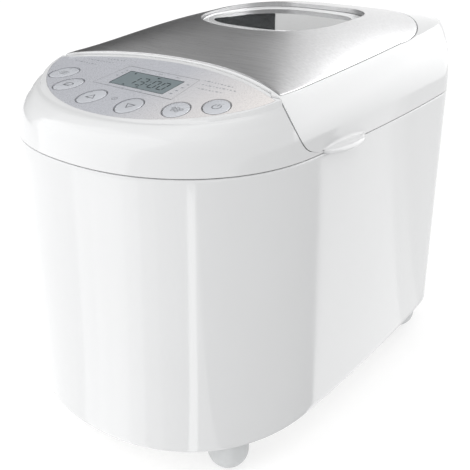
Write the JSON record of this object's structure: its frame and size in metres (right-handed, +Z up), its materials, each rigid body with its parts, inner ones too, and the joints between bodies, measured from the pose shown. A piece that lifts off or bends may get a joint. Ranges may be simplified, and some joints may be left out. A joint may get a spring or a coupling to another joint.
{
  "type": "bread machine",
  "caption": "Countertop bread machine with a half-round front, sloping control panel, crowned steel lid with a window, lift-out pan and belt-driven kneading paddle.",
  "frame": {"origin": "on the table under the middle of the machine, level with the bottoms of the feet", "axes": "+Z up, +Y from the control panel at the front to the lid hinge at the back, +X to the right as seen from the front"},
  "size_m": [0.242, 0.37, 0.2913],
  "materials": {
    "white_gloss": "high gloss white ABS",
    "white_matte": "fine matt white",
    "silver_panel": "silver-grey printed overlay",
    "button_silver": "silver-grey keys with a dark outline",
    "lcd_lens": "grey-green display lens",
    "grey_plastic": "moulded grey",
    "black_plastic": "moulded black",
    "circuit_board": "green laminate",
    "steel_sheet": "plain sheet steel",
    "brushed_top": "brushed across the lid",
    "dark_steel": "oxidised heater tube",
    "motor_steel": "lacquered motor can",
    "cast_aluminium": "satin cast",
    "nonstick": "dark non-stick coating",
    "screw_steel": "bright plated steel",
    "brass_bush": "sintered bearing bronze",
    "ceramic_white": "fired white bush",
    "belt_rubber": "ribbed black rubber",
    "seal_rubber": "grey silicone",
    "foot_rubber": "pale grey rubber",
    "glass_pane": "clear toughened glass"
  },
  "bodies": {
    "root": {"body_housing": "white_gloss", "front_cover": "white_gloss", "panel_overlay": "silver_panel", "lcd_window": "lcd_lens", "lcd_module": "grey_plastic", "control_board": "circuit_board", "tact_switches": "black_plastic", "top_deck": "white_matte", "oven_chamber": "steel_sheet", "chamber_standoffs": "steel_sheet", "pan_seat": "cast_aluminium", "heating_element": "dark_steel", "heater_bushings": "ceramic_white", "heater_clips": "steel_sheet", "temperature_sensor": "steel_sheet", "thermal_fuse": "steel_sheet", "drive_bearing": "brass_bush", "motor": "motor_steel", "motor_bracket": "steel_sheet", "drive_belt": "belt_rubber", "chassis": "steel_sheet", "chassis_posts": "white_matte", "base_plate": "white_matte", "feet": "foot_rubber", "base_screws": "screw_steel", "cord_gland": "grey_plastic", "capacitor": "grey_plastic", "power_board": "circuit_board", "board_bracket": "white_matte", "hinge_brackets": "grey_plastic", "hinge_pin": "screw_steel"},
    "lid": {"lid_shell": "white_gloss", "lid_plate": "brushed_top", "window_bezel": "white_gloss", "window_glass": "glass_pane", "lid_liner": "cast_aluminium", "lid_inner_glass": "glass_pane", "lid_seal": "seal_rubber", "lid_knuckles": "white_matte"},
    "pan": {"bread_pan": "nonstick", "pan_base": "cast_aluminium", "shaft_seal": "belt_rubber"},
    "handle": {"pan_handle": "screw_steel"},
    "drive": {"drive_shaft": "screw_steel", "drive_dog": "cast_aluminium", "pan_spindle": "screw_steel", "kneading_paddle": "nonstick", "large_pulley": "black_plastic"},
    "motor_rotor": {"motor_shaft": "screw_steel", "motor_pulley": "brass_bush"},
    "button_menu_key": {"button_menu": "button_silver"},
    "button_size_key": {"button_size": "button_silver"},
    "button_up_key": {"button_up": "button_silver"},
    "button_down_key": {"button_down": "button_silver"},
    "button_crust_key": {"button_crust": "button_silver"},
    "button_power_key": {"button_power": "button_silver"}
  },
  "joints": [
    {"name": "lid_hinge", "type": "hinge", "parent": "root", "child": "lid", "pos_m": [0, 0.174, 0.2372], "axis": [-1, 0, 0], "range_deg": [0, 85]},
    {"name": "pan_twist", "type": "hinge", "parent": "root", "child": "pan", "pos_m": [0, 0.042, 0.0932], "axis": [0, 0, 1], "range_deg": [0, 7]},
    {"name": "handle_swing", "type": "hinge", "parent": "pan", "child": "handle", "pos_m": [0, 0.042, 0.1992], "axis": [-1, 0, 0], "range_deg": [0, 28]},
    {"name": "drive_spin", "type": "hinge", "parent": "root", "child": "drive", "pos_m": [0, 0.042, 0.0422], "axis": [0, 0, 1], "continuous": true},
    {"name": "motor_spin", "type": "hinge", "parent": "root", "child": "motor_rotor", "pos_m": [0, -0.112, 0.0422], "axis": [0, 0, 1], "continuous": true},
    {"name": "press_menu", "type": "slide", "parent": "root", "child": "button_menu_key", "axis": [0, 0.1908, -0.9816], "range_m": [0, 0.001], "stiffness_N_per_m": 600},
    {"name": "press_size", "type": "slide", "parent": "root", "child": "button_size_key", "axis": [0, 0.1908, -0.9816], "range_m": [0, 0.001], "stiffness_N_per_m": 600},
    {"name": "press_up", "type": "slide", "parent": "root", "child": "button_up_key", "axis": [0, 0.1908, -0.9816], "range_m": [0, 0.001], "stiffness_N_per_m": 600},
    {"name": "press_down", "type": "slide", "parent": "root", "child": "button_down_key", "axis": [0, 0.1908, -0.9816], "range_m": [0, 0.001], "stiffness_N_per_m": 600},
    {"name": "press_crust", "type": "slide", "parent": "root", "child": "button_crust_key", "axis": [0, 0.1908, -0.9816], "range_m": [0, 0.001], "stiffness_N_per_m": 600},
    {"name": "press_power", "type": "slide", "parent": "root", "child": "button_power_key", "axis": [0, 0.1908, -0.9816], "range_m": [0, 0.001], "stiffness_N_per_m": 600}
  ],
  "couplings": [
    {"joint": "motor_spin", "follows": "drive_spin", "ratio": 6}
  ]
}
